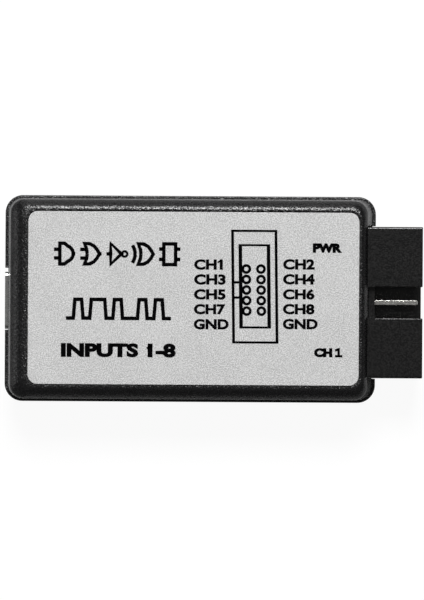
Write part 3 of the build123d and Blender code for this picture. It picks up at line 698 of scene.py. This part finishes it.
def fine_traces():
    """The channels, from the microcontroller to buffer, resistors and header, and the data lines."""
    left, right = columns("microcontroller_leads", MICROCONTROLLER_COLUMN)
    buffer_left, buffer_right = columns("buffer_leads", BUFFER_COLUMN)
    resistor_left, resistor_right = columns("resistor_terminals", RESISTOR_COLUMN)
    near, far = header_holes()
    traces = []
    for i in range(CHANNELS):
        traces.append(jogged(right[MICROCONTROLLER_CHANNEL + i], buffer_left[BUFFER_CHANNEL + i]))
        traces.append(jogged(buffer_right[BUFFER_CHANNEL + i], resistor_left[i]))
        pin = i // 2 + 1  # the lowest pin of each row is ground
        if i % 2:
            traces.append(jogged(resistor_right[i], near[pin]))
        else:
            x, y = near[pin]
            between = y - PIN_PITCH / 2
            level = [*jogged(resistor_right[i], (x - PAST_PIN, between)), (x + PAST_PIN, between)]
            traces.append([*level, far[pin]])
    contacts = columns("usb_contacts", CONTACT_COLUMN)[0]
    memory = columns("memory_leads", MEMORY_COLUMN)[-1]
    traces += [jogged(contacts[contact], left[lead]) for contact, lead in PORT_DATA]
    traces += [jogged(memory[pin], left[lead]) for pin, lead in MEMORY_DATA]
    return traces


def middle_of_side(foot, side):
    """The middle of a foot's left side, 0, or right side, 2."""
    return (foot[side], (foot[1] + foot[3]) / 2)


def board_traces():
    """The fine traces, and the broad ones from the port to the fuse and on to the tantalum capacitor."""
    copper = Print()
    for trace in fine_traces():
        copper.line(trace, FINE_TRACE)
    contact = columns("usb_contacts", CONTACT_COLUMN)[0][0]
    fuse = feet("resettable_fuse_terminals")
    supply = middle_of_side(fuse[-1], 2)
    x = supply[0] + SUPPLY_BEND
    bends = [(x, contact[1] - CONTACT_DROP), (x, supply[1] + SUPPLY_BEND)]
    copper.line([contact, *bends, supply], BROAD_TRACE)
    start = middle_of_side(fuse[0], 0)
    end = middle_of_side(feet("tantalum_capacitor_terminals")[0], 0)
    x = start[0] - FUSE_BEND
    bends = [(x, start[1] - FUSE_BEND), (x, end[1] + FUSE_BEND)]
    copper.line([start, *bends, end], BROAD_TRACE)
    return copper


def board_pads():
    """Tinned pads under the leads and end caps, rings round the header's pins, and vias."""
    tin = Print()
    for node in PAD_NODES:
        for x0, y0, x1, y1 in feet(node):
            tin.rectangle(x0 - PAD_MARGIN, y0 - PAD_MARGIN, x1 + PAD_MARGIN, y1 + PAD_MARGIN)
    for row in header_holes():
        for x, y in row:
            tin.ring(x, y, HOLE_PAD_RADIUS, HOLE_RADIUS)
    for x, y in VIAS_AT:
        tin.ring(x, y, *VIA_RADII)
    return tin


def board_legend():
    """White outlines round the chips, a dot at each first pin, and a line each side of the small parts."""
    ink = Print()
    gap, stroke = LEGEND_GAP, LEGEND_STROKE
    for nodes in OUTLINED:
        low, high = low_and_high(*nodes)
        outer, inner = [
            corners(low.x - grown, low.y - grown, high.x + grown, high.y + grown)
            for grown in (gap, gap - stroke)
        ]
        ink.loop(outer, inner)
        ink.disc(low.x - gap - DOT_LEFT, high.y - DOT_DOWN, FIRST_PIN_DOT)
    for node in BRACKETED:
        for x0, y0, x1, y1 in feet(node):
            if x1 - x0 > y1 - y0:
                for y in (y0 - gap, y1 + gap):
                    ink.line([(x0, y), (x1, y)], stroke)
            else:
                for x in (x0 - gap, x1 + gap):
                    ink.line([(x, y0), (x, y1)], stroke)
    return ink


def tantalum_bands():
    """The band that marks the positive end of each tantalum capacitor."""
    ink = Print()
    for x0, y0, _, y1 in feet("tantalum_capacitor_bodies"):
        ink.rectangle(x0, y0, x0 + BAND_WIDTH, y1)
    return ink


def print_board():
    bands_at = (0.0, 0.0, low_and_high("tantalum_capacitor_bodies")[1].z)
    board_traces().piece("board_traces", BOARD_AT, TRACE_THICKNESS, MASKED_COPPER, "base", "board_laminate")
    board_pads().piece("board_pads", BOARD_AT, INK, FINISHES["solder"], "base", "solder")
    board_legend().piece("board_legend", BOARD_AT, INK, WHITE_INK, "base", "board_laminate")
    tantalum_bands().piece("tantalum_bands", bands_at, INK, BROWN_INK, "base", "tantalum_yellow")


# ================================================================ table, lights and camera
TABLE_SIDE = 6000.0
TABLE_CLOUDS = 40.0  # how large its faint clouds are
TABLE_UNEVENNESS = 0.03
# height, shade and glow
TABLE_SEEN = (-0.05, 0.08, 0.94)
TABLE_BOUNCE = (-0.25, 0.6, 0.0)

LIP_HEIGHT = 1.0  # of the lower shell, above the parting line
PARTING_Z = low_and_high("lower_shell")[1].z - LIP_HEIGHT
CAMERA_AT = (-0.16, -0.12)  # straight over this point
CAMERA_DISTANCE = 900.0  # above the parting line
VIEW_HEIGHT = 81.0  # what the picture's long side spans at the parting line
CAMERA_ROLL = 0.35  # degrees
SENSOR = 36.0

# name, where it is, how large, its power in watts
LIGHTS = [
    ("key", (0.0, 560.0, 1000.0), (420.0, 350.0), 13.1),
    ("strip_far", (-100.0, 1100.0, 480.0), (900.0, 220.0), 1.2),
    ("strip_left", (-1100.0, 100.0, 480.0), (700.0, 260.0), 1.15),
]
# the studio's brightness from straight down, at 0, through level, at 0.5, to straight up, at 1
WORLD_LEVELS = [(0.0, 0.5), (0.5, 0.24), (0.56, 0.14), (0.75, 0.07), (0.93, 0.06), (1.0, 0.15)]


def plane(name, height, albedo, glow):
    """A level sheet of the stage, matt, a little cloudy, and glowing evenly."""
    made, shader = new_finish(name, (albedo,) * 3, roughness=0.6)
    clouds = spread(made, noise(made, TABLE_CLOUDS))
    low, high = albedo * (1.0 - TABLE_UNEVENNESS), albedo * (1.0 + TABLE_UNEVENNESS)
    tint(made, shader, clouds, (low,) * 3, (high,) * 3)
    shader.inputs["Specular IOR Level"].default_value = 0.0
    shader.inputs["Emission Color"].default_value = (1.0, 1.0, 1.0, 1.0)
    shader.inputs["Emission Strength"].default_value = glow
    half = TABLE_SIDE / 2 * MM
    mesh = bpy.data.meshes.new(name)
    spots = [(x, y, height * MM) for x, y in corners(-half, -half, half, half)]
    mesh.from_pydata(spots, [], [(0, 1, 2, 3)])
    mesh.materials.append(made)
    sheet = bpy.data.objects.new(name, mesh)
    bpy.context.scene.collection.objects.link(sheet)
    return sheet


def add_table():
    """A white table for the camera, and just under it a grey one that lights the case and mirrors in it."""
    seen = plane("table", *TABLE_SEEN)
    seen.visible_diffuse = False
    seen.visible_glossy = False
    seen.visible_transmission = False
    seen.visible_shadow = False
    bounce = plane("table_bounce", *TABLE_BOUNCE)
    bounce.visible_camera = False


def add_lights():
    """Soft rectangular lights, each turned towards the object."""
    for name, at, size, power in LIGHTS:
        lamp = bpy.data.lights.new(name, "AREA")
        lamp.shape = "RECTANGLE"
        lamp.size, lamp.size_y = size[0] * MM, size[1] * MM
        lamp.energy = power
        holder = bpy.data.objects.new(name, lamp)
        holder.location = Vector(at) * MM
        holder.rotation_euler = (-holder.location).to_track_quat("-Z", "Y").to_euler()
        holder.visible_camera = False
        bpy.context.scene.collection.objects.link(holder)


def add_world():
    """A studio that is pale below, dark above and a little paler again straight overhead."""
    world = bpy.data.worlds.new("studio")
    world.use_nodes = True
    nodes, links = world.node_tree.nodes, world.node_tree.links
    place = nodes.new("ShaderNodeTexCoord")
    split = nodes.new("ShaderNodeSeparateXYZ")
    height = nodes.new("ShaderNodeMapRange")
    height.inputs["From Min"].default_value = -1.0
    ramp = nodes.new("ShaderNodeValToRGB")
    stops = ramp.color_ramp.elements
    while len(stops) < len(WORLD_LEVELS):
        stops.new(0.5)  # anywhere: the next lines place them all
    for stop, (position, level) in zip(stops, WORLD_LEVELS):
        stop.position = position
        stop.color = (level, level, level, 1.0)
    links.new(place.outputs["Generated"], split.inputs["Vector"])
    links.new(split.outputs["Z"], height.inputs["Value"])
    links.new(height.outputs["Result"], ramp.inputs["Fac"])
    links.new(ramp.outputs["Color"], nodes["Background"].inputs["Color"])
    bpy.context.scene.world = world


def add_camera():
    """Straight over the case, from far enough that its walls hardly show."""
    lens_data = bpy.data.cameras.new("camera")
    lens_data.sensor_width = SENSOR
    lens_data.lens = SENSOR * CAMERA_DISTANCE / VIEW_HEIGHT
    holder = bpy.data.objects.new("camera", lens_data)
    holder.location = Vector((*CAMERA_AT, PARTING_Z + CAMERA_DISTANCE)) * MM
    holder.rotation_euler = (0.0, 0.0, math.radians(CAMERA_ROLL))
    bpy.context.scene.collection.objects.link(holder)
    bpy.context.scene.camera = holder


give_finishes()
print_label()
print_board()
add_table()
add_lights()
add_world()
add_camera()
bpy.context.scene.view_settings.view_transform = "Standard"
